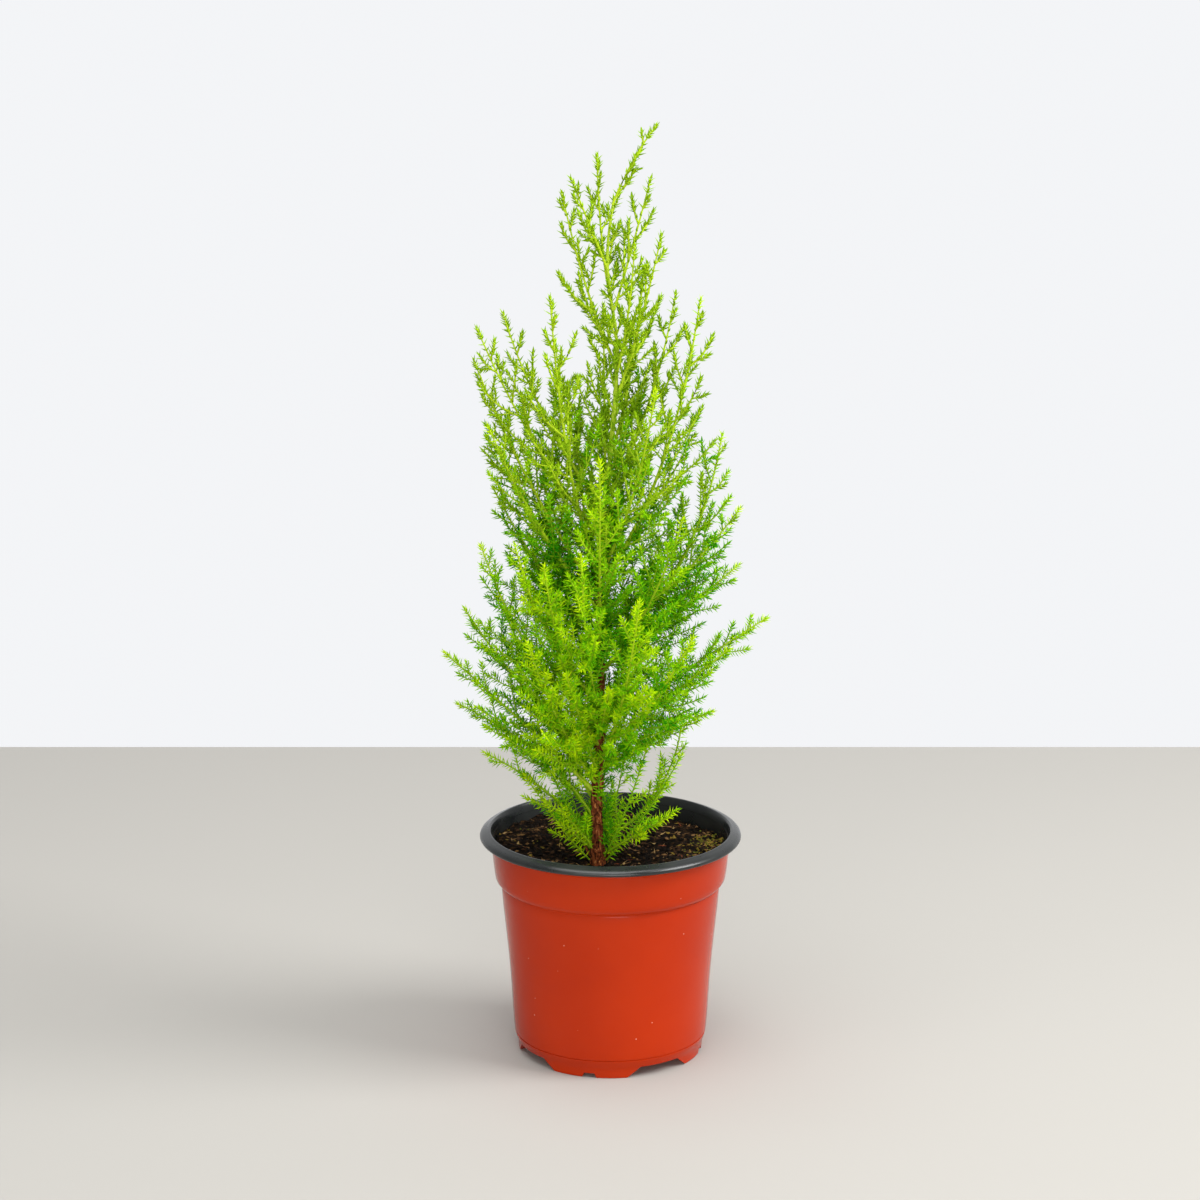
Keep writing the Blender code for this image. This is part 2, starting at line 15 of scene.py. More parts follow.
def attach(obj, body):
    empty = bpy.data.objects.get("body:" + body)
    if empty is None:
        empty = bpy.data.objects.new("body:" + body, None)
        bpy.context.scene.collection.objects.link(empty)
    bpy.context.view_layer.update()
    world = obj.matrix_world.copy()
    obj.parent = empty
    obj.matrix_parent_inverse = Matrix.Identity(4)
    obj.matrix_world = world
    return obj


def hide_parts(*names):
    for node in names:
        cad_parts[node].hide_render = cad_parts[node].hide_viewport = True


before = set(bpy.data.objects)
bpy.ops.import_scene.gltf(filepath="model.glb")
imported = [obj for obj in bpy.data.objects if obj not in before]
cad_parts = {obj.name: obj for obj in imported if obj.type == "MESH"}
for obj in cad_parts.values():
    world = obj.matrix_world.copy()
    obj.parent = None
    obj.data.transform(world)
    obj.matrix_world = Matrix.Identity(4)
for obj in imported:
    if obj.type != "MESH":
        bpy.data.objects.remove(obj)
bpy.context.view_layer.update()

MM = 0.001
SEED = 11

# The trunk, its leader and the side shoots, as in the part's source
TRUNK = (
    (92.9, -5.7, -14.0, 3.5),
    (98.0, -5.8, -14.0, 2.8),
    (126.0, -6.2, -13.5, 2.4),
    (154.0, -4.7, -13.0, 1.8),
    (185.0, -4.5, -12.5, 1.5),
    (225.0, -5.9, -12.0, 1.3),
    (290.0, 0.5, -11.0, 1.0),
    (330.0, 2.6, -10.0, 0.8),
    (370.0, -1.6, -9.0, 0.6),
    (392.0, 0.6, -8.0, 0.5),
)
LEADER_TIP = (19.2, -8.0, 426.0)
SIDE_SHOOTS = (
    (96, 343, 34, 119, 0.48),
    (96, 199, 25, 125, 0.34),
    (103, 1, 38, 158, 0.85),
    (98, 178, 51, 145, 0.30),
    (112, 166, 65, 164, 0.28),
    (126, 187, 68, 194, 0.48),
    (130, 236, 54, 208, 0.60),
    (134, 310, 64, 211, 0.55),
    (136, 253, 47, 194, 0.50),
    (137, 7, 52, 163, 0.45),
    (140, 288, 57, 229, 0.70),
    (142, 176, 60, 211, 0.60),
    (146, 337, 62, 200, 0.50),
    (148, 240, 48, 241, 0.70),
    (152, 275, 46, 187, 0.45),
    (158, 354, 74, 210, 0.50),
    (158, 193, 54, 244, 0.70),
    (161, 260, 49, 247, 0.75),
    (168, 219, 48, 248, 0.70),
    (182, 313, 52, 261, 0.65),
    (185, 12, 63, 229, 0.55),
    (190, 5, 54, 290, 0.80),
    (196, 347, 63, 261, 0.60),
    (196, 159, 51, 263, 0.60),
    (196, 270, 36, 286, 0.75),
    (212, 201, 51, 298, 0.60),
    (220, 172, 55, 323, 0.60),
    (222, 355, 45, 352, 0.75),
    (226, 314, 36, 315, 0.70),
    (228, 218, 26, 354, 0.75),
    (245, 186, 54, 339, 0.60),
    (258, 165, 46, 343, 0.65),
    (262, 30, 36, 351, 0.70),
    (305, 344, 21, 380, 0.58),
    (318, 301, 15, 376, 0.70),
    (321, 157, 26, 396, 0.62),
    (345, 17, 17, 403, 0.52),
    (364, 202, 17, 404, 0.50),
    (348, 138, 9, 413, 0.80),
)
BACK_SHOOTS = 11
BACK_FIRST = 120.0
BACK_STEP = 16.0
BACK_ARC = (50.0, 140.0)
BACK_REACH = 66.0
BACK_NARROWING = 0.24
BACK_CLIMB = 80.0
GOLDEN = 0.618
GOLDEN_ANGLE = 137.5
BOUGHS = {5: 0.24, 15: 0.22, 16: 0.22, 21: 0.2}
BOUGH_RADIUS = 1.2

# Side twigs and twiglets: spacing, tilt, and length as a base and a share of the way left to the tip
TWIG = {"step": 3.4, "tilt": 42.0, "base": 1.5, "share": 0.44, "longest": 34.0, "bare": 7.0}
TWIGLET = {"step": 4.9, "tilt": 44.0, "base": 1.5, "share": 0.45, "longest": 15.0, "bare": 6.0}
FIRST_TWIG = 6.0
TRUNK_TWIG_STEP = 2.6
BARE_FRONT = 240.0

# Needles: spacing of their pairs along a shoot and in the brush at its tip, length and half width
NEEDLE_STEP = 1.15
BRUSH_STEP = 0.82
BRUSH = 2.7
NEEDLE_LENGTH = 3.8
NEEDLE_HALF_WIDTH = 0.42
PIECE_TRIANGLES = 150000

# How many shades lighter the needles are by their distance from the tip of their shoot
AIRY = (216.0, 330.0)
TIP_LIGHT = ((0.0, 3.0, 8.0, 20.0, 45.0), (1.9, 1.2, 0.2, -1.4, -3.0))

SAMPLES = 90


def trunk_at(height):
    """The trunk's axis point and radius at a height, on a smooth line through its bends."""
    rows = np.array(TRUNK)
    heights = rows[:, 0]
    slopes = np.gradient(rows[:, 1:], heights, axis=0)
    at = int(np.clip(np.searchsorted(heights, height) - 1, 0, len(rows) - 2))
    span = heights[at + 1] - heights[at]
    t = (height - heights[at]) / span
    x, y, radius = (
        (2 * t**3 - 3 * t**2 + 1) * rows[at, 1:]
        + (t**3 - 2 * t**2 + t) * span * slopes[at]
        + (3 * t**2 - 2 * t**3) * rows[at + 1, 1:]
        + (t**3 - t**2) * span * slopes[at + 1]
    )
    return np.array([x, y, height]), float(np.interp(height, heights, rows[:, 3]))


def back_shoots():
    rows = []
    low, high = BACK_ARC
    for number in range(BACK_SHOOTS):
        foot = BACK_FIRST + BACK_STEP * number
        direction = low + (high - low) * ((0.9 + GOLDEN * number) % 1.0)
        reach = BACK_REACH - BACK_NARROWING * (foot - BACK_FIRST)
        rows.append((foot, direction, reach, foot + BACK_CLIMB, 0.55 + 0.015 * number))
    return rows


def bent_line(foot, tip, bow, count=SAMPLES):
    foot, tip = np.array(foot, float), np.array(tip, float)
    way = tip - foot
    knee = foot + way * (bow, bow, 0.5 - 0.6 * (bow - 0.5))
    t = np.linspace(0.0, 1.0, count)[:, None]
    return (1 - t) ** 2 * foot + 2 * t * (1 - t) * knee + t**2 * tip


def unit(vector):
    return vector / np.linalg.norm(vector, axis=-1, keepdims=True)


def length_of(line):
    return float(np.linalg.norm(np.diff(line, axis=0), axis=1).sum())


def along(line, distances):
    """Points and directions at distances along a line."""
    steps = np.linalg.norm(np.diff(line, axis=0), axis=1)
    run = np.concatenate([[0.0], np.cumsum(steps)])
    distances = np.atleast_1d(distances)
    points = np.stack([np.interp(distances, run, line[:, axis]) for axis in range(3)], axis=1)
    at = np.clip(np.searchsorted(run, distances) - 1, 0, len(line) - 2)
    return points, unit(np.diff(line, axis=0)[at])


def across(ways, turns):
    """Unit vectors at right angles to the ways, turned round them by angles in degrees."""
    side = np.where(np.abs(ways[:, 2:]) > 0.9, (1.0, 0.0, 0.0), (0.0, 0.0, 1.0))
    first = unit(np.cross(ways, side))
    second = np.cross(ways, first)
    turns = np.radians(turns)[:, None]
    return first * np.cos(turns) + second * np.sin(turns)


class Mesh:
    """Gathers many small shapes into one mesh, each face with the number of its material."""

    def __init__(self):
        self.points, self.faces, self.shades, self.count = [], [], [], 0

    def add(self, points, faces, shades):
        self.points.append(points.reshape(-1, 3))
        self.faces.append(faces.reshape(-1, 3) + self.count)
        self.shades.append(np.broadcast_to(shades, (faces.reshape(-1, 3).shape[0],)))
        self.count += points.reshape(-1, 3).shape[0]

    def triangles(self):
        return sum(len(faces) for faces in self.faces)

    def build(self, name, materials, slot, smooth=True):
        points = np.concatenate(self.points) * MM
        faces = np.concatenate(self.faces)
        mesh = bpy.data.meshes.new(name)
        mesh.vertices.add(len(points))
        mesh.vertices.foreach_set("co", points.astype(np.float32).ravel())
        mesh.loops.add(faces.size)
        mesh.loops.foreach_set("vertex_index", faces.astype(np.int32).ravel())
        mesh.polygons.add(len(faces))
        mesh.polygons.foreach_set("loop_start", np.arange(0, faces.size, 3, dtype=np.int32))
        mesh.polygons.foreach_set("material_index", np.concatenate(self.shades).astype(np.int32))
        mesh.polygons.foreach_set("use_smooth", np.full(len(faces), smooth))
        mesh.update(calc_edges=True)
        mesh.validate()
        for material in materials:
            mesh.materials.append(material)
        thing = bpy.data.objects.new(name, mesh)
        bpy.context.scene.collection.objects.link(thing)
        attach(thing, "root")
        return thing


def tube_shape(line, radii, sides):
    """The points and triangles of a tapering tube along a line, closed at its tip."""
    ways = unit(np.gradient(line, axis=0))
    turns = np.linspace(0.0, 360.0, sides, endpoint=False)
    rings = [
        point + across(np.repeat(way[None], sides, 0), turns) * radius
        for point, way, radius in zip(line, ways, radii)
    ]
    points = np.concatenate([np.concatenate(rings), line[-1:] + ways[-1:] * radii[-1]])
    faces = []
    for ring in range(len(line) - 1):
        for side in range(sides):
            a, b = ring * sides + side, ring * sides + (side + 1) % sides
            faces += [(a, a + sides, b), (b, a + sides, b + sides)]
    top = (len(line) - 1) * sides
    faces += [(top + side, len(points) - 1, top + (side + 1) % sides) for side in range(sides)]
    return points, np.array(faces)[:, ::-1]


NEEDLE_FACES = np.array([(0, 2, 1), (0, 3, 2), (0, 1, 3), (1, 2, 4), (2, 3, 4), (3, 1, 4)])


def airy_at(line):
    """How open the growth of a shoot is: its twigs stand further apart near the top of the plant."""
    return float(np.interp(line[len(line) // 2][2], AIRY, (0.0, 1.0)))


def needles_on(line, mesh, shade, rng, size=1.0, start=0.0, step=1.0):
    """Curved awl-shaped needles all along a shoot, in crossed pairs, closing to a brush at its tip."""
    airy = airy_at(line)
    step = NEEDLE_STEP * step
    reach = length_of(line)
    if reach - start < 1.0:
        return
    brush = BRUSH + 3.8 * airy
    near = BRUSH_STEP * (1.0 + 0.3 * airy)
    left = np.concatenate([np.arange(0.1, brush, near), np.arange(brush, max(reach - start, brush), step)])
    left = np.repeat(left[left < reach - start], 2)
    left = np.clip(left + rng.uniform(-0.15, 0.15, len(left)), 0.03, reach)
    number = np.arange(len(left))
    points, ways = along(line, reach - left)
    turns = rng.uniform(0, 90) + 180.0 * (number % 2) + 90.0 * ((number // 2) % 2)
    out = across(ways, turns + rng.uniform(-16, 16, len(left)))
    tilt = np.interp(left, (0.0, 0.8, BRUSH, 6.0), (10.0 - 3.0 * airy, 29.0 - 8.0 * airy, 45.0 - 15.0 * airy, 62.0 - 24.0 * airy))
    tilt = np.radians(tilt + rng.uniform(-8, 8, len(left)))[:, None]
    length = NEEDLE_LENGTH * size * np.interp(left, (0.0, 1.5, 4.0), (0.78, 0.95, 1.0))
    length = (length * rng.uniform(0.82, 1.12, len(left)))[:, None]
    heading = ways * np.cos(tilt) + out * np.sin(tilt)
    bend = np.radians(rng.uniform(4, 22, len(left)))[:, None]
    later = unit(heading * np.cos(bend) + unit(out - ways) * np.sin(bend))
    middle = points + heading * length * (0.36 - 0.14 * airy)
    tip = middle + later * length * (0.64 + 0.14 * airy)
    flat = unit(np.cross(heading, out - ways))
    lift = np.cross(heading, flat)
    width = NEEDLE_HALF_WIDTH * (1.0 + 0.35 * airy) * size * rng.uniform(0.85, 1.15, len(left))[:, None]
    ring = [middle + (flat * a + lift * b) * width for a, b in ((1.0, -0.35), (-1.0, -0.35), (0.0, 0.65))]
    block = np.stack([points, *ring, tip], axis=1)
    faces = NEEDLE_FACES[None] + (np.arange(len(left)) * 5)[:, None, None]
    light = np.interp(left, *TIP_LIGHT) * np.interp(line[:, 2].mean(), (130.0, 240.0), (0.6, 1.0))
    tone = shade + (light + rng.uniform(-2.6, 2.6, len(left))) * (1.0 - 0.6 * airy)
    tone = np.clip(np.round(tone), 0, len(GREENS) - 1)
    if airy > 0.2 + 0.6 * rng.uniform():
        tone = len(GREENS) + tone // 2
    mesh.add(block, faces, np.repeat(tone, len(NEEDLE_FACES)))


def curved_shoot(foot, way, length, rise, count=6):
    """A short side shoot that starts along a way and bends slowly upwards."""
    end = foot + unit(way + np.array([0.0, 0.0, rise])) * length
    knee = foot + way * length * 0.5
    t = np.linspace(0.0, 1.0, count)[:, None]
    return (1 - t) ** 2 * foot + 2 * t * (1 - t) * knee + t**2 * end


def keeps_clear(line, owner, lines, slack):
    """Whether the outer half of a shoot is about as near to its own stem as to the others."""
    points = line[len(line) // 2 :]
    own = np.linalg.norm(points[:, None] - lines[owner], axis=2).min(axis=1)
    for other, stem in enumerate(lines):
        if other != owner:
            if (np.linalg.norm(points[:, None] - stem, axis=2).min(axis=1) + slack < own).any():
                return False
    return True


# Heights between which the crown is open in front of the trunk, and half the width of these openings
OPENINGS = ((140.0, 155.0), (176.0, 187.0), (203.0, 210.0), (222.0, 228.0))
OPENING = 2.4
OPEN_SHARE = 0.7


def in_opening(shoot, rng):
    """Whether a shoot would hide the trunk where the photo shows it, seen from the front and a little above.

    A few shoots still cross the openings.
    """
    if rng.uniform() > OPEN_SHARE:
        return False
    for x, y, z in shoot[1:]:
        axis, _ = trunk_at(min(max(z, 93.0), 391.0))
        seen = z + 0.243 * (y - axis[1])
        if y < axis[1] and abs(x - axis[0]) < OPENING and any(low < seen < high for low, high in OPENINGS):
            return True
    return False


def above_ground(shoot):
    """Whether a shoot's end keeps clear of the soil, and of the rim if it reaches that far out."""
    x, y, z = shoot[-1]
    away = math.hypot(x, y)
    return z > soil_height(x, y) + 2.5 and (away < 50.0 or z > 107.5)


def plume_share(line):
    """How far a mass is a plain plume with few twigs: those from the trunk's foot most, then those in front."""
    way = line[-1] - line[0]
    front = max(0.0, -way[1] / max(np.hypot(way[0], way[1]), 1.0))
    low = np.interp(line[0][2], PLUMES[0], PLUMES[1])
    return float(max(low, 0.8 * front * np.interp(line[0][2], (200.0, 300.0), (1.0, 0.0))))


def grow(number, line, start, lines, needles, twigs, rng):
    """One mass: its stem, side twigs and twiglets, with needles on all of them."""
    reach = length_of(line)
    airy = airy_at(line)
    plume = plume_share(line)
    foot_share = min(1.0, max(0.0, (plume - 1.0) / 3.0))
    runs = np.linspace(start, reach, max(6, round(reach / 6)))
    stem, _ = along(line, runs)
    radii = np.interp(reach - runs, (0.0, reach), (0.34, 0.44 + 0.004 * reach))
    # Painted light on the listed masses, a random tone on the others
    lift = PAINTED_LIGHT_LIFT if number in FRONT_LIT_SHOOTS else rng.uniform(-0.08, 0.08)
    shade = painted_shade_green(stem[-1], rng, lift + STEM_LIFT)
    twigs.add(*tube_shape(stem, radii, 6), stem_shade(shade, stem[0][2], airy))
    needles_on(line, needles, shade, rng, 1.0, start + 3.0, 0.9 + 2.1 * airy)

    turn = rng.uniform(0.0, 360.0)
    run = start + FIRST_TWIG * rng.uniform(0.6, 1.0)
    while run < reach - TWIG["bare"]:
        left = reach - run
        foot, way = along(line, run)
        airy = float(np.interp(foot[0][2], AIRY, (0.0, 1.0)))
        size = min(TWIG["base"] + (TWIG["share"] + 0.06 * min(plume, 1.0) - 0.1 * foot_share) * left, TWIG["longest"])
        size *= min(1.0, 0.4 + (run - start) / 18.0) * rng.uniform(0.75, 1.15)
        turn += GOLDEN_ANGLE + rng.uniform(-18, 18)
        tilt = math.radians(TWIG["tilt"] - 4.0 * min(plume, 1.0) + rng.uniform(-7, 7))
        for spin, share in ((0, 1.0), (70, 1.0), (-70, 1.0), (0, 0.7), (120, 0.6), (0, 0.45)):
            out = across(way, np.array([turn + spin]))[0]
            heading = way[0] * math.cos(tilt) + out * math.sin(tilt)
            shoot = curved_shoot(foot[0], heading, size * share, 0.25 + 0.25 * airy)
            if keeps_clear(shoot, number, lines, 4.0) and above_ground(shoot) and not in_opening(shoot, rng):
                grow_twig(shoot, needles, twigs, rng, lift, 1.0 + plume)
                break
        run += TWIG["step"] * rng.uniform(0.8, 1.2) * (0.75 + 0.25 * min(1.0, left / 25.0)) * (1.0 + 1.5 * airy + 0.6 * min(plume, 1.0) + 1.1 * foot_share)


def stem_shade(shade, height, airy=0.0):
    """The number of a twig's green, with a painted shade that darkens it near the soil under the crown, and paler in
    the open top.
    """
    tone = shade / 2.0 - np.interp(height, (100.0, 135.0), (2.0, 0.0)) + 2.6 * airy
    return int(np.clip(tone, 0.0, 5.0))


def grow_twig(shoot, needles, twigs, rng, lift=0.0, apart=1.0):
    """A twig and the twiglets that it bears, which stand further apart on a plume."""
    reach = length_of(shoot)
    airy = airy_at(shoot)
    shade = painted_shade_green(shoot[-1], rng, lift)
    radii = np.linspace(0.31 + 0.003 * reach, 0.27, len(shoot)) * (1.0 + 0.5 * airy)
    twigs.add(*tube_shape(shoot, radii, 5), stem_shade(shade, shoot[0][2], airy))
    needles_on(shoot, needles, shade, rng, 1.0, 1.2, 1.0 + 1.5 * airy)
    run = 4.0 * rng.uniform(0.8, 1.2)
    side = rng.uniform(0.0, 360.0)
    while run < reach - TWIGLET["bare"]:
        left = reach - run
        size = min(TWIGLET["base"] + TWIGLET["share"] * left, TWIGLET["longest"]) * rng.uniform(0.75, 1.2)
        foot, way = along(shoot, run)
        side += 180.0 + rng.uniform(-50, 50)
        tilt = math.radians(TWIGLET["tilt"] + rng.uniform(-8, 8))
        out = across(way, np.array([side]))[0]
        heading = way[0] * math.cos(tilt) + out * math.sin(tilt)
        twiglet = curved_shoot(foot[0], heading, size, 0.2, 4)
        if above_ground(twiglet) and not in_opening(twiglet, rng):
            twigs.add(*tube_shape(twiglet, np.linspace(0.28, 0.24, 4) * (1.0 + 0.4 * airy), 4), stem_shade(shade, foot[0][2], airy))
            needles_on(twiglet, needles, shade + rng.integers(-2, 1), rng, 0.95, 0.8, 1.0 + 1.3 * airy)
        run += TWIGLET["step"] * apart * rng.uniform(0.8, 1.2) * (1.0 + 0.6 * airy)


# How much the masses are plain plumes, by the height of their feet
PLUMES = ((104.0, 113.0, 130.0, 200.0, 260.0), (4.0, 2.0, 0.8, 0.25, 0.0))

# Long plumes from the trunk's foot: direction, tilt from the vertical, length, and height of the foot
SPROUTS = (
    (350, 33, 62, 95),
    (334, 16, 58, 97),
    (186, 36, 36, 95),
    (190, 42, 46, 101),
    (206, 28, 40, 105),
    (62, 28, 44, 97),
    (128, 30, 46, 97),
)


def grow_sprouts(needles, twigs, rng):
    for direction, tilt, length, height in SPROUTS:
        foot, radius = trunk_at(height)
        turn = math.radians(direction)
        out = np.array([math.cos(turn), math.sin(turn), 0.0])
        tilt = math.radians(tilt)
        heading = out * math.sin(tilt) + np.array([0.0, 0.0, math.cos(tilt)])
        shoot = curved_shoot(foot + out * (radius + 0.6), unit(heading + out * 0.2), length, 0.25, 12)
        # Painted light: the sprouts at the trunk's foot get lighter greens than their place would give
        grow_twig(shoot, needles, twigs, rng, 0.3, 2.6)


def grow_on_trunk(lines, needles, twigs, rng):
    """Short upright twigs that the trunk bears itself, between its side shoots. Its front is bare below."""
    axis = np.array([trunk_at(height)[0] for height in np.linspace(93.0, 391.0, 150)])
    lines = [*lines, axis]
    height, turn = 95.0, 0.0
    while height < 389.0:
        foot, radius = trunk_at(height)
        up = unit(trunk_at(height + 1.0)[0] - foot)
        turn += GOLDEN_ANGLE + rng.uniform(-20, 20)
        airy = float(np.interp(height, (230.0, 360.0), (0.0, 1.0)))
        size = np.interp(height, (95.0, 160.0, 260.0, 391.0), (16.0, 19.0, 24.0, 9.0)) * rng.uniform(0.7, 1.2)
        tilt = math.radians(40.0 + rng.uniform(-8, 8))
        for spin, share in ((0, 1.0), (60, 1.0), (-60, 1.0), (0, 0.7), (120, 0.7), (0, 0.45)):
            out = across(up[None], np.array([turn + spin]))[0]
            if height < BARE_FRONT and out[1] < -0.6 and rng.uniform() < 0.7:
                continue
            heading = up * math.cos(tilt) + out * math.sin(tilt)
            shoot = curved_shoot(foot + out * radius * 0.6, heading, size * share, 0.7)
            if keeps_clear(shoot, len(lines) - 1, lines, 3.0):
                grow_twig(shoot, needles, twigs, rng)
                break
        height += TRUNK_TWIG_STEP * rng.uniform(0.8, 1.2) * np.interp(height, (260.0, 340.0, 390.0), (1.0, 2.6, 4.0))


# The masses whose sprays get a painted light, lighter than the others: most of them face the front, where the lamps
# are
FRONT_LIT_SHOOTS = (1, 2, 3, 7, 9, 11, 14, 15, 18, 19, 25, 29, 30, 42, 46, 49)
PAINTED_LIGHT_LIFT = 0.2
STEM_LIFT = 0.3

# Greens from the shaded inside of the crown to its sunlit tips, and the yellower ones of its top, as linear colours
GREENS = [
    ((0.18 + 0.52 * t**0.9) * (0.04 + 0.66 * t), 0.18 + 0.52 * t**0.9, 0.001 + 0.002 * t)
    for t in np.linspace(0.0, 1.0, 12)
]
TOP_GREENS = [((0.32 + 0.58 * g) * g, g, 0.002 + 0.008 * g) for g in np.linspace(0.3, 0.51, 6)]


def painted_shade_green(point, rng, lift=0.0):
    """The number of the green for a spray, with painted shade: darker the nearer its tip is to the trunk, lighter
    near the soil and at the top.
    """
    axis, _ = trunk_at(min(max(point[2], 93.0), 391.0))
    out = np.linalg.norm((point - axis)[:2]) + np.interp(point[2], (250, 380), (0.0, 8.0))
    edge = np.interp(point[2], (95, 130, 160, 210, 300, 380, 426), (15, 36, 60, 68, 48, 22, 12))
    # Painted shade: the green darkens towards the trunk, where the crown's inside lies in shadow
    share = 0.17 + 0.31 * min(1.0, out / edge) ** 1.1 + lift + rng.uniform(-0.13, 0.13)
    # Painted light on the low sprays by the soil, and lighter greens towards the top
    share += np.interp(point[2], (95, 200, 320, 426), (0.26, 0.0, 0.08, 0.2))
    share = min(share, 0.95 - 0.15 * np.interp(point[2], (250, 350), (0.0, 1.0)))
    return int(np.clip(round(share * (len(GREENS) - 1)), 0, len(GREENS) - 1))


def material(name, colour, roughness, **sockets):
    made = bpy.data.materials.new(name)
    made.use_nodes = True
    shader = made.node_tree.nodes["Principled BSDF"]
    shader.inputs["Base Color"].default_value = (*colour, 1.0)
    shader.inputs["Roughness"].default_value = roughness
    for socket, value in sockets.items():
        shader.inputs[socket.replace("_", " ")].default_value = value
    return made


def node(made, kind, **values):
    """A node with its settings and unlinked inputs set. A tuple value of (node, output) is a link."""
    new = made.node_tree.nodes.new(kind)
    for name, value in values.items():
        name = name.replace("_", " ") if name.replace("_", " ") in new.inputs else name
        if isinstance(value, tuple) and len(value) == 2 and hasattr(value[0], "outputs"):
            made.node_tree.links.new(value[0].outputs[value[1]], new.inputs[name])
        elif name in new.inputs:
            new.inputs[name].default_value = value
        else:
            setattr(new, name, value)
    return new


def ramp(made, source, stops):
    new = made.node_tree.nodes.new("ShaderNodeValToRGB")
    made.node_tree.links.new(source[0].outputs[source[1]], new.inputs[0])
    while len(new.color_ramp.elements) < len(stops):
        new.color_ramp.elements.new(0.5)
    for element, (place, colour) in zip(new.color_ramp.elements, stops):
        element.position = place
        element.color = (*colour, 1.0)
    return new


def link(made, source, target):
    shader = made.node_tree.nodes["Principled BSDF"]
    made.node_tree.links.new(source[0].outputs[source[1]], shader.inputs[target])


def bump(made, height, strength, distance):
    new = made.node_tree.nodes.new("ShaderNodeBump")
    new.inputs["Strength"].default_value = strength
    new.inputs["Distance"].default_value = distance
    made.node_tree.links.new(height[0].outputs[height[1]], new.inputs["Height"])
    link(made, (new, 0), "Normal")


def bark_material():
    made = material("bark", (0.3, 0.08, 0.02), 0.85, Specular_IOR_Level=0.15)
    where = node(made, "ShaderNodeTexCoord")
    grain = node(made, "ShaderNodeMapping", Vector=(where, "Object"), Scale=(900.0, 900.0, 240.0))
    flakes = node(made, "ShaderNodeTexNoise", Vector=(grain, 0), Scale=1.0, Detail=6.0, Roughness=0.7)
    tone = ramp(
        made,
        (flakes, 0),
        [(0.36, (0.022, 0.005, 0.002)), (0.46, (0.12, 0.026, 0.006)), (0.56, (0.3, 0.08, 0.02)), (0.68, (0.62, 0.28, 0.09))],
    )
    link(made, (tone, 0), "Base Color")
    bump(made, (flakes, 0), 0.6, 0.0006)
    return made


def pot_red():
    made = material("pot_outside", (0.45, 0.026, 0.001), 0.2, Specular_IOR_Level=0.16)
    where = node(made, "ShaderNodeTexCoord")
    cloud = node(made, "ShaderNodeTexNoise", Vector=(where, "Object"), Scale=22.0, Detail=4.0)
    tone = ramp(made, (cloud, 0), [(0.3, (0.43, 0.024, 0.001)), (0.7, (0.48, 0.03, 0.0015))])
    specks = node(made, "ShaderNodeTexVoronoi", Vector=(where, "Object"), Scale=190.0)
    mask = ramp(made, (specks, 0), [(0.035, (1.0, 1.0, 1.0)), (0.055, (0.0, 0.0, 0.0))])
    patch = node(made, "ShaderNodeTexNoise", Vector=(where, "Object"), Scale=60.0, Detail=1.0)
    few = ramp(made, (patch, 0), [(0.52, (0.0, 0.0, 0.0)), (0.56, (1.0, 1.0, 1.0))])
    both = node(made, "ShaderNodeMath", operation="MULTIPLY")
    made.node_tree.links.new(mask.outputs[0], both.inputs[0])
    made.node_tree.links.new(few.outputs[0], both.inputs[1])
    mix = node(made, "ShaderNodeMix", data_type="RGBA")
    made.node_tree.links.new(both.outputs[0], mix.inputs[0])
    made.node_tree.links.new(tone.outputs[0], mix.inputs[6])
    mix.inputs[7].default_value = (0.75, 0.5, 0.38, 1.0)
    link(made, (mix, 2), "Base Color")
    waves = node(made, "ShaderNodeTexNoise", Vector=(where, "Object"), Scale=14.0, Detail=1.0)
    bump(made, (waves, 0), 0.25, 0.002)
    return made


def pot_black():
    made = material("pot_inside", (0.014, 0.016, 0.016), 0.2)
    where = node(made, "ShaderNodeTexCoord")
    smears = node(made, "ShaderNodeTexNoise", Vector=(where, "Object"), Scale=60.0, Detail=5.0)
    tone = ramp(made, (smears, 0), [(0.35, (0.011, 0.013, 0.013)), (0.8, (0.03, 0.032, 0.03))])
    link(made, (tone, 0), "Base Color")
    rough = ramp(made, (smears, 0), [(0.3, (0.2, 0.2, 0.2)), (0.8, (0.42, 0.42, 0.42))])
    link(made, (rough, 0), "Roughness")
    return made


def soil_material():
    made = material("soil", (0.03, 0.015, 0.008), 0.95, Specular_IOR_Level=0.08)
    where = node(made, "ShaderNodeTexCoord")
    crumbs = node(made, "ShaderNodeTexNoise", Vector=(where, "Object"), Scale=420.0, Detail=6.0, Roughness=0.75)
    tone = ramp(
        made,
        (crumbs, 0),
        [(0.4, (0.0015, 0.001, 0.0008)), (0.52, (0.007, 0.004, 0.002)), (0.6, (0.03, 0.014, 0.005)), (0.72, (0.13, 0.07, 0.025))],
    )
    link(made, (tone, 0), "Base Color")
    bump(made, (crumbs, 0), 0.8, 0.0012)
    return made


def show(thing, slot, *nodes):
    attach(thing, "root")
    if nodes:
        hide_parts(*nodes)
    return thing


# Pot: the profiles of the part's source, with more points on the wall and round the rim
WALL = (
    (101.4, 54.7),
    (97.0, 54.45),
    (91.0, 53.95),
    (85.5, 53.3),
    (83.3, 52.95),
    (82.4, 52.5),
    (81.3, 51.45),
    (80.7, 50.85),
    (79.6, 50.35),
    (75.0, 49.95),
    (70.5, 49.6),
    (63.2, 48.85),
    (55.9, 48.1),
    (48.5, 47.35),
    (41.2, 46.7),
    (33.8, 46.15),
    (26.4, 45.7),
    (19.0, 45.3),
    (11.5, 44.75),
    (6.5, 43.9),
)
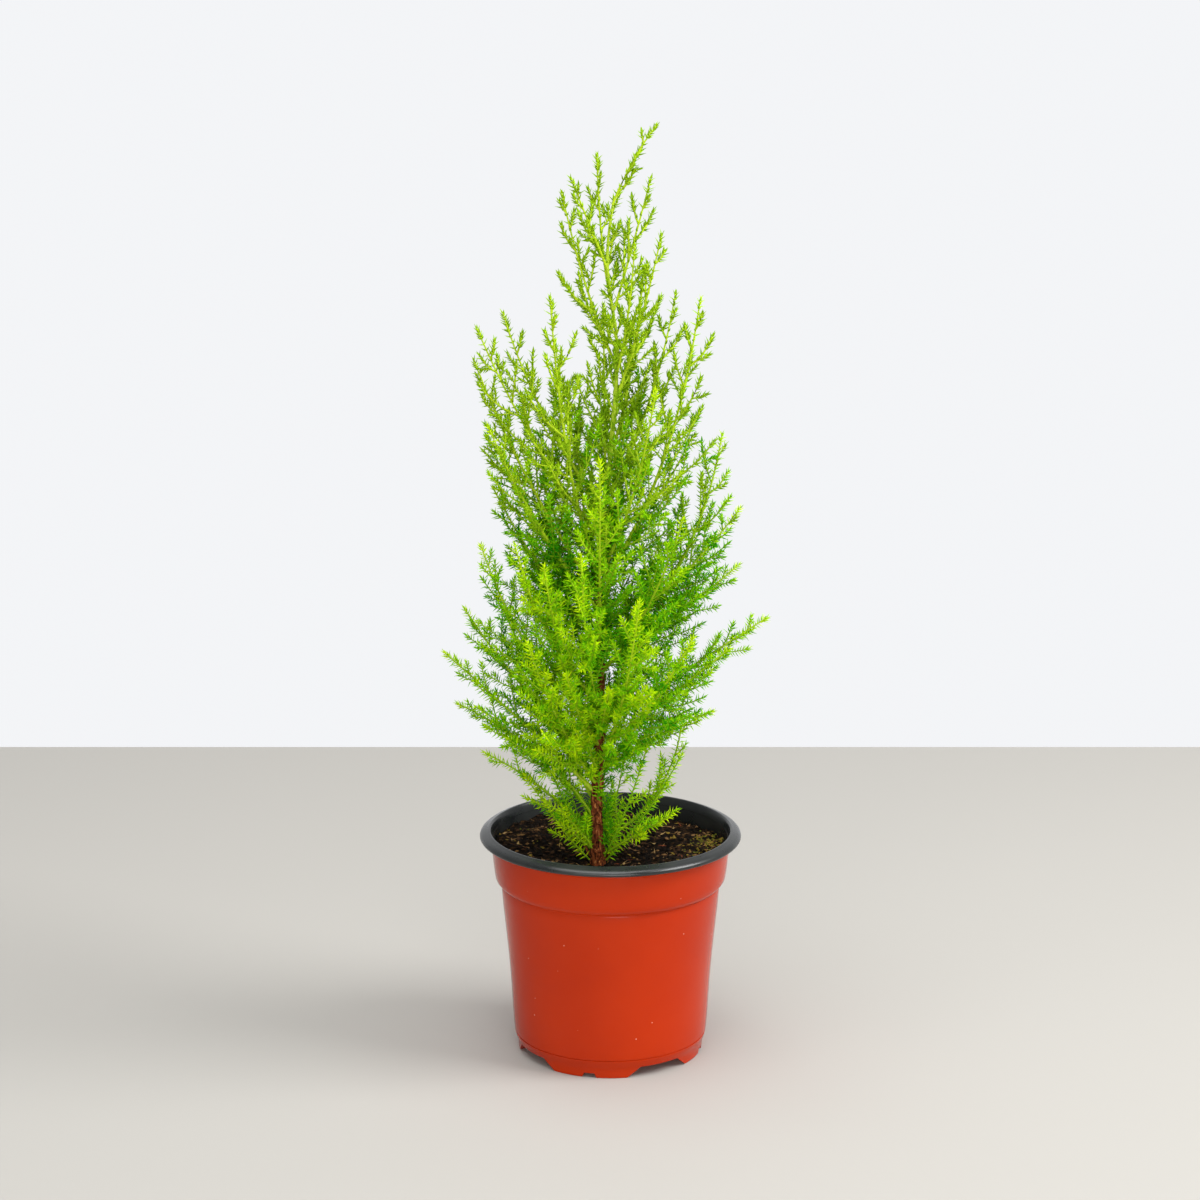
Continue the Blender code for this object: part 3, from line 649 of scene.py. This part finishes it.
# Rings on the outside of the wall: the bead under the rim, the sunk seam and the line above the feet
RINGS = (
    (100.5, 54.65),
    (100.2, 54.95),
    (99.8, 55.0),
    (99.5, 54.6),
    (80.45, 50.3),
    (80.2, 50.2),
    (79.95, 50.25),
    (9.4, 44.55),
    (9.25, 44.1),
    (8.85, 44.1),
    (8.7, 44.45),
)
RIM = (
    (53.9, 101.4),
    (54.3, 103.2),
    (54.8, 104.6),
    (55.1, 105.25),
    (55.5, 105.5),
    (55.95, 105.45),
    (56.4, 105.2),
    (57.4, 104.9),
    (58.5, 104.45),
    (59.3, 103.9),
    (59.8, 103.3),
    (60.0, 102.7),
    (59.9, 102.2),
    (59.6, 101.85),
    (59.1, 101.7),
)
POT_SIDES = 144
FOOT_TURN = -13.2


def turned(name, profile):
    points = [Vector((radius * MM, 0.0, height * MM)) for radius, height in profile]
    edit = bmesh.new()
    verts = [edit.verts.new(point) for point in points]
    edges = [edit.edges.new(pair) for pair in zip(verts, verts[1:])]
    bmesh.ops.spin(
        edit,
        geom=verts + edges,
        cent=(0, 0, 0),
        axis=(0, 0, 1),
        angle=math.tau,
        steps=POT_SIDES,
        use_duplicate=False,
    )
    bmesh.ops.remove_doubles(edit, verts=edit.verts, dist=0.00001)
    bmesh.ops.recalc_face_normals(edit, faces=edit.faces)
    mesh = bpy.data.meshes.new(name)
    edit.to_mesh(mesh)
    edit.free()
    thing = bpy.data.objects.new(name, mesh)
    bpy.context.scene.collection.objects.link(thing)
    return thing


def foot_cutter():
    edit = bmesh.new()
    for quarter in range(4):
        foot = FOOT_TURN + 90 * quarter
        add_wedge(edit, foot + 45.0, 38.8, 19.6, 5.0, 15.8, 9.9)
        add_wedge(edit, foot, 38.8, 19.6, 2.2, 3.4, 2.4)
    mesh = bpy.data.meshes.new("foot_cutter")
    edit.to_mesh(mesh)
    edit.free()
    thing = bpy.data.objects.new("foot_cutter", mesh)
    bpy.context.scene.collection.objects.link(thing)
    return thing


def add_wedge(edit, angle, radius, depth, height, half_foot, half_top):
    below = 2.0
    made = bmesh.ops.create_cube(edit, size=1.0)["verts"]
    slope = (half_foot - half_top) / height
    for vert in made:
        low = vert.co.z < 0
        half = half_foot + slope * below if low else half_top
        vert.co.x = math.copysign(half, vert.co.x) * MM
        vert.co.y = (math.copysign(depth / 2, vert.co.y) - radius) * MM
        vert.co.z = (-below if low else height) * MM
    bmesh.ops.rotate(edit, verts=made, matrix=Matrix.Rotation(math.radians(angle), 3, "Z"))


def applied(thing):
    graph = bpy.context.evaluated_depsgraph_get()
    mesh = bpy.data.meshes.new_from_object(thing.evaluated_get(graph), depsgraph=graph)
    thing.modifiers.clear()
    thing.data = mesh
    return thing


def make_pot():
    inside = [(radius - 0.6, height) for height, radius in WALL[:-1]]
    outside = [(radius, height) for height, radius in sorted([*WALL, *RINGS], reverse=True)]
    shell = turned(
        "pot_red_wall",
        [(0.0, 6.2), (42.6, 6.2), *reversed(inside), *outside, (43.3, 5.6), (42.9, 3.0), (42.6, 0.25), (42.3, 0.0)]
        + [(35.2, 0.0), (35.0, 0.3), (34.0, 5.6), (9.5, 5.6), (8.0, 0.0), (0.0, 0.0)],
    )
    cutter = foot_cutter()
    cut = shell.modifiers.new("Feet", "BOOLEAN")
    cut.operation, cut.object, cut.solver = "DIFFERENCE", cutter, "EXACT"
    applied(shell)
    bpy.data.objects.remove(cutter, do_unlink=True)
    shell.data.shade_smooth()
    shell.data.set_sharp_from_angle(angle=math.radians(35))
    shell.data.materials.clear()
    shell.data.materials.append(pot_red())
    show(shell, "pot_outside", "pot_shell")

    outer = [(radius - 0.9, height) for height, radius in WALL[:-1]]
    inner = [(radius - 1.35, height) for height, radius in WALL[1:-1]]
    liner = turned(
        "pot_black_lining",
        [(0.0, 7.05), (42.0, 7.05), *reversed(inner), *RIM, (outer[0][0] + 0.1, 101.7), *outer[1:]]
        + [(42.5, 6.5), (0.0, 6.5)],
    )
    liner.data.shade_smooth()
    liner.data.set_sharp_from_angle(angle=math.radians(50))
    liner.data.materials.append(pot_black())
    show(liner, "pot_inside", "pot_liner")


def soil_at_wall(x, y):
    return 99.0 - 3.4 * max(0.0, math.cos(math.atan2(y, x) - math.radians(60.0))) ** 2


def soil_height(x, y):
    away = math.hypot(x - TRUNK[0][1], y - TRUNK[0][2])
    share = min(1.0, max(0.0, (away - 7.0) / 38.0))
    rise = share * share * (3 - 2 * share)
    wave = 0.7 * (math.sin(x / 7.1 + 1.3) * math.cos(y / 8.3) + 0.5 * math.sin((x + y) / 4.7))
    return 92.6 + (soil_at_wall(x, y) - 92.6) * rise + wave * min(1.0, 2 * share)


def soil_relief(x, y):
    """Clods, and the crumbs on them."""
    clods = noise.fractal(Vector((x / 5.0, y / 5.0, 4.0)), 0.9, 2.1, 5)
    crumbs = noise.noise(Vector((x * 0.8, y * 0.8, 9.0)))
    return 1.1 * clods + 0.4 * crumbs - 0.3


SOIL_RADIUS = 53.0
SOIL_RINGS = 74
SOIL_SPOKES = 300


def make_soil():
    """The surface as fine rings of crumbs, closed underneath, with chips and fibres lying on it."""
    mesh = Mesh()
    points = [(0.0, 0.0, soil_height(0.0, 0.0))]
    for ring in range(1, SOIL_RINGS + 1):
        radius = SOIL_RADIUS * ring / SOIL_RINGS
        for spoke in range(SOIL_SPOKES):
            turn = math.tau * spoke / SOIL_SPOKES
            x, y = radius * math.cos(turn), radius * math.sin(turn)
            points.append((x, y, soil_height(x, y) + soil_relief(x, y)))
    faces = []
    for spoke in range(SOIL_SPOKES):
        after = (spoke + 1) % SOIL_SPOKES
        faces.append((0, 1 + spoke, 1 + after))
        for ring in range(SOIL_RINGS - 1):
            a, b = 1 + ring * SOIL_SPOKES + spoke, 1 + ring * SOIL_SPOKES + after
            faces += [(a, a + SOIL_SPOKES, b), (b, a + SOIL_SPOKES, b + SOIL_SPOKES)]
    low = len(points)
    points += [(x * 0.975, y * 0.975, 87.0) for x, y, _ in points[-SOIL_SPOKES:]]
    points.append((0.0, 0.0, 87.0))
    for spoke in range(SOIL_SPOKES):
        after = (spoke + 1) % SOIL_SPOKES
        a, b = low - SOIL_SPOKES + spoke, low - SOIL_SPOKES + after
        faces += [(a, low + spoke, b), (b, low + spoke, low + after), (low + spoke, len(points) - 1, low + after)]
    mesh.add(np.array(points), np.array(faces), 0)
    soil = mesh.build("potting_soil", [soil_material()], "soil")
    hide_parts("soil")

    rng = np.random.default_rng(SEED + 500)
    litter = Mesh()
    for _ in range(1500):
        radius = SOIL_RADIUS * math.sqrt(rng.uniform(0.002, 0.97))
        turn = rng.uniform(0, math.tau)
        x, y = radius * math.cos(turn), radius * math.sin(turn)
        kind = rng.uniform()
        if kind < 0.45:
            size = np.array([rng.uniform(0.5, 1.9), rng.uniform(0.4, 1.2), rng.uniform(0.3, 0.8)])
            shade = rng.choice([0, 0, 0, 0, 1, 1, 2])
        elif kind < 0.62:
            size = np.array([rng.uniform(0.9, 2.8), rng.uniform(0.5, 1.3), rng.uniform(0.12, 0.3)])
            shade = rng.choice([1, 2, 3, 5], p=[0.36, 0.34, 0.12, 0.18])
        elif kind < 0.8:
            size = np.array([rng.uniform(1.2, 4.5), rng.uniform(0.12, 0.3), rng.uniform(0.1, 0.2)])
            shade = rng.choice([1, 2, 3, 4], p=[0.5, 0.3, 0.13, 0.07])
        else:
            # A mossy bank on the right, as in the photo, and a few specks of moss elsewhere
            if rng.uniform() < 0.75:
                x, y = rng.normal(46.0, 5.0), rng.normal(-4.0, 12.0)
                if math.hypot(x, y) > SOIL_RADIUS - 0.6:
                    continue
            size = rng.uniform(0.35, 0.95, 3) * (1.0, 0.9, 0.7)
            shade = rng.choice([5, 6])
        add_chip(litter, x, y, size, shade, rng)
    tones = [(0.008, 0.005, 0.003), (0.05, 0.024, 0.011), (0.17, 0.09, 0.035), (0.36, 0.23, 0.09), (0.2, 0.05, 0.02)]
    tones += [(0.2, 0.13, 0.02), (0.1, 0.1, 0.012)]
    names = ["dark_crumb", "brown_fibre", "tan_fibre", "straw_fibre", "red_fibre", "dry_moss", "moss"]
    litter.build("soil_chips", [material(n, c, 0.9, Specular_IOR_Level=0.1) for n, c in zip(names, tones)], "soil", smooth=False)


CHIP_FACES = np.array(
    [(0, 2, 4), (2, 1, 4), (1, 3, 4), (3, 0, 4), (2, 0, 5), (1, 2, 5), (3, 1, 5), (0, 3, 5)]
)


def add_chip(litter, x, y, size, shade, rng):
    """A crumb or fibre of eight faces, lying on the soil at a random angle."""
    corners = np.array([(1, 0, 0), (-1, 0, 0), (0, 1, 0), (0, -1, 0), (0, 0, 1), (0, 0, -1)]) * size
    turn, dip = rng.uniform(0, math.tau), rng.uniform(-0.35, 0.35)
    spin = np.array(Matrix.Rotation(turn, 3, "Z") @ Matrix.Rotation(dip, 3, "Y"))
    place = np.array([x, y, soil_height(x, y) + soil_relief(x, y) + size[2] * 0.6])
    litter.add(corners @ spin.T + place, CHIP_FACES, shade)


# Dead brown twigs by the trunk's foot: where each starts, bends and ends
DEAD_TWIGS = (
    ((-4.0, -14.5, 94.0), (2.0, -14.0, 100.0), (4.5, -12.5, 116.0)),
    ((-4.0, -12.0, 95.0), (4.0, -9.0, 98.0), (9.0, -8.0, 107.0)),
    ((-7.5, -12.5, 95.0), (-13.0, -10.0, 99.0), (-15.0, -9.5, 112.0)),
)


# Loose scales of bark, how high they go, and the scars: height, direction, half height and half width
FLAKES = 170
FLAKES_UP_TO = 165.0
SCARS = ((131.0, 300.0, 2.1, 1.1), (121.0, 255.0, 1.2, 0.7))


def make_bark(stems):
    """The trunk and boughs with the relief of flaking bark, green where the trunk is this year's shoot."""
    mesh = Mesh()
    heights = np.concatenate([np.arange(92.9, 250.0, 0.7), np.arange(250.0, 391.0, 2.5), [391.5]])
    line = np.array([trunk_at(height)[0] for height in heights])
    radii = np.array([trunk_at(height)[1] for height in heights])
    add_limb(mesh, line, radii, 28, 0.4)
    add_flakes(mesh)
    for number, share in BOUGHS.items():
        stem = stems[number + 1]
        reach = length_of(stem)
        runs = np.arange(0.5, reach * share, 0.7)
        points, _ = along(stem, runs)
        add_limb(mesh, points, np.linspace(BOUGH_RADIUS, BOUGH_RADIUS * 0.6, len(runs)), 18, 0.16, 0.1)
    for foot, knee, tip in DEAD_TWIGS:
        t = np.linspace(0.0, 1.0, 24)[:, None]
        points = (1 - t) ** 2 * np.array(foot) + 2 * t * (1 - t) * np.array(knee) + t**2 * np.array(tip)
        add_limb(mesh, points, np.linspace(0.75, 0.3, 24), 10, 0.35)
    green = material("green_bark", (0.42, 0.58, 0.03), 0.6, Specular_IOR_Level=0.1)
    scar = material("scar", (0.55, 0.2, 0.05), 0.8, Specular_IOR_Level=0.2)
    bark = mesh.build("bark", [bark_material(), green, scar], "bark")
    names = [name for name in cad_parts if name.startswith("bough")]
    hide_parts("trunk", *names)


def add_flakes(mesh):
    """Loose scales of bark that stand off the lower trunk, and the scar of a lost shoot."""
    rng = np.random.default_rng(SEED + 700)
    for _ in range(FLAKES):
        height = rng.uniform(93.5, FLAKES_UP_TO)
        centre, radius = trunk_at(height)
        turn = rng.uniform(0.0, math.tau)
        out = np.array([math.cos(turn), math.sin(turn), 0.0])
        side = np.array([-math.sin(turn), math.cos(turn), 0.0])
        up = unit(np.array([rng.uniform(-0.25, 0.25), rng.uniform(-0.25, 0.25), 1.0]))
        tall, wide = rng.uniform(1.2, 3.4), rng.uniform(0.35, 0.9)
        lift = rng.uniform(0.15, 0.75)
        root = centre + out * radius * 0.95
        points = np.array(
            [root - side * wide, root + side * wide, root + up * tall + out * lift + side * wide * 0.5,
             root + up * tall * 0.9 + out * (lift + 0.15) - side * wide * 0.6, root + up * tall * 0.5 - out * 0.5]
        )
        mesh.add(points, np.array([(0, 1, 2), (0, 2, 3), (1, 4, 2), (2, 4, 3), (3, 4, 0), (0, 4, 1)]), 0)
    for height, direction, tall, wide in SCARS:
        centre, radius = trunk_at(height)
        turn = math.radians(direction)
        out = np.array([math.cos(turn), math.sin(turn), 0.0])
        side = np.array([-math.sin(turn), math.cos(turn), 0.0])
        spin = np.radians(np.arange(0, 360, 45))[:, None]
        ring = centre + out * radius * 0.9 + side * np.cos(spin) * wide + np.array([0, 0, 1.0]) * np.sin(spin) * tall
        points = np.concatenate([ring, [centre + out * (radius + 0.55)]])
        mesh.add(points, np.array([(n, (n + 1) % 8, 8) for n in range(8)]), 2)


def add_limb(mesh, line, radii, sides, relief, brown=1.0):
    ways = unit(np.gradient(line, axis=0))
    turns = np.linspace(0.0, 360.0, sides, endpoint=False)
    points = []
    for point, way, radius in zip(line, ways, radii):
        out = across(np.repeat(way[None], sides, 0), turns)
        depth = [
            noise.fractal(Vector((point + d * radius) * (0.9, 0.9, 0.28)), 0.7, 2.2, 4) for d in out
        ]
        points.append(point + out * (radius * (1.0 + relief * np.array(depth)))[:, None])
    points = np.concatenate([*points, line[-1:] + ways[-1:] * radii[-1] * 0.5])
    faces, shades = [], []
    for ring in range(len(line) - 1):
        for side in range(sides):
            a, b = ring * sides + side, ring * sides + (side + 1) % sides
            faces += [(a, b, a + sides), (b, b + sides, a + sides)]
            height = line[ring][2]
            green = height > 245.0 + 12.0 * math.sin(side * 1.7) or ring > brown * len(line)
            shades += [1 if green else 0] * 2
    top = (len(line) - 1) * sides
    faces += [(top + side, top + (side + 1) % sides, len(points) - 1) for side in range(sides)]
    shades += [shades[-1]] * sides
    mesh.add(points, np.array(faces), np.array(shades))


def make_crown():
    stems, starts = [], []
    top, _ = trunk_at(TRUNK[-1][0])
    stems.append(bent_line(top, LEADER_TIP, 0.4))
    for height, direction, reach, tip_height, bow in [*SIDE_SHOOTS, *back_shoots()]:
        foot, radius = trunk_at(height)
        turn = math.radians(direction)
        tip = (foot[0] + reach * math.cos(turn), foot[1] + reach * math.sin(turn), tip_height)
        stems.append(bent_line(foot, tip, bow))
    make_bark(stems)
    lines = [stem[::4] for stem in stems]
    greens = [
        material(f"needle_green_{n:02d}", colour, 0.6, Specular_IOR_Level=0.02)
        for n, colour in enumerate([*GREENS, *TOP_GREENS])
    ]
    wood = [
        material(f"twig_green_{n}", (0.06 + 0.4 * t, 0.26 + 0.37 * t, 0.002 + 0.02 * t), 0.6, Specular_IOR_Level=0.04)
        for n, t in enumerate(np.linspace(0.0, 1.0, 6))
    ]
    nodes = sorted(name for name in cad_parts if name.startswith("foliage"))
    needles, twigs, held, piece = Mesh(), Mesh(), [], 0
    for number, stem in enumerate(stems):
        rng = np.random.default_rng(SEED + number)
        start = 0.0
        if number:
            _, radius = trunk_at(stem[0][2])
            start = radius + 0.5
        grow(number, stem, start, lines, needles, twigs, rng)
        held.append(nodes[number])
        if needles.triangles() > PIECE_TRIANGLES or number == len(stems) - 1:
            piece += 1
            made = needles.build(f"needles_{piece:02d}", greens, "foliage", smooth=False)
            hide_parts(*held)
            print(made.name, needles.triangles())
            needles, held = Mesh(), []
    rng = np.random.default_rng(SEED + 900)
    leader = Mesh()
    grow_on_trunk(lines, leader, twigs, rng)
    grow_sprouts(leader, twigs, rng)
    line = np.array([trunk_at(height)[0] for height in np.linspace(250.0, 391.0, 80)])
    needles_on(line, leader, 9, rng, 0.8, 0.0, 3.2)
    leader.build("needles_on_trunk", greens, "foliage", smooth=False)
    print("needles_on_trunk", leader.triangles())
    twigs.build("green_twigs", wood, "foliage")
    print("twigs", twigs.triangles())


FLOOR_EDGE = 0.49


def make_stage():
    # The floor's far edge stands where the photo's floor meets its wall.
    bpy.ops.mesh.primitive_plane_add(size=6.0, location=(0.0, FLOOR_EDGE - 3.0, 0.0))
    floor = bpy.context.object
    floor.name = "floor"
    made = material("floor", (0.41, 0.395, 0.365), 0.8)
    floor.data.materials.append(made)
    world = bpy.data.worlds.new("studio")
    bpy.context.scene.world = world
    world.use_nodes = True
    sky = world.node_tree.nodes["Background"]
    sky.inputs["Strength"].default_value = 1.0
    way = world.node_tree.nodes.new("ShaderNodeTexCoord")
    tone = world.node_tree.nodes.new("ShaderNodeValToRGB")
    share = world.node_tree.nodes.new("ShaderNodeVectorMath")
    share.operation = "DOT_PRODUCT"
    share.inputs[1].default_value = (0.03, 0.49, -0.1)
    world.node_tree.links.new(way.outputs["Generated"], share.inputs[0])
    shifted = world.node_tree.nodes.new("ShaderNodeMath")
    shifted.operation = "ADD"
    shifted.inputs[1].default_value = 0.5
    world.node_tree.links.new(share.outputs["Value"], shifted.inputs[0])
    world.node_tree.links.new(shifted.outputs[0], tone.inputs[0])
    tone.color_ramp.elements[0].position = 0.55
    tone.color_ramp.elements[0].color = (0.22, 0.223, 0.23, 1.0)
    tone.color_ramp.elements[1].position = 0.94
    tone.color_ramp.elements[1].color = (0.9, 0.91, 0.93, 1.0)
    world.node_tree.links.new(tone.outputs["Color"], sky.inputs["Color"])
    add_light("window", (1.3, -0.35, 1.3), 0.9, 31.0)
    add_light("softbox", (-0.2, -0.5, 2.4), 1.9, 54.0)
    add_light("fill", (-0.5, -1.7, 0.9), 1.0, 6.0)
    add_light("low_fill", (0.15, -1.2, 0.3), 0.5, 4.8)


def add_light(name, place, size, power):
    lamp = bpy.data.lights.new(name, "AREA")
    lamp.shape = "SQUARE"
    lamp.size = size
    lamp.energy = power
    thing = bpy.data.objects.new(name, lamp)
    thing.location = place
    aim = Vector((0.0, 0.0, 0.2)) - Vector(place)
    thing.rotation_euler = aim.to_track_quat("-Z", "Y").to_euler()
    bpy.context.scene.collection.objects.link(thing)


def make_camera():
    data = bpy.data.cameras.new("camera")
    data.lens = 92.38
    data.sensor_width = 36.0
    data.clip_start = 0.05
    thing = bpy.data.objects.new("camera", data)
    pitch = math.radians(13.666)
    look = Vector((0.0, math.cos(pitch), -math.sin(pitch)))
    thing.location = (-0.0048, -1.35, 0.5415)
    thing.rotation_euler = look.to_track_quat("-Z", "Y").to_euler()
    bpy.context.scene.collection.objects.link(thing)
    bpy.context.scene.camera = thing


make_camera()
make_stage()
make_pot()
make_soil()
make_crown()
bpy.context.scene.view_settings.view_transform = "Standard"
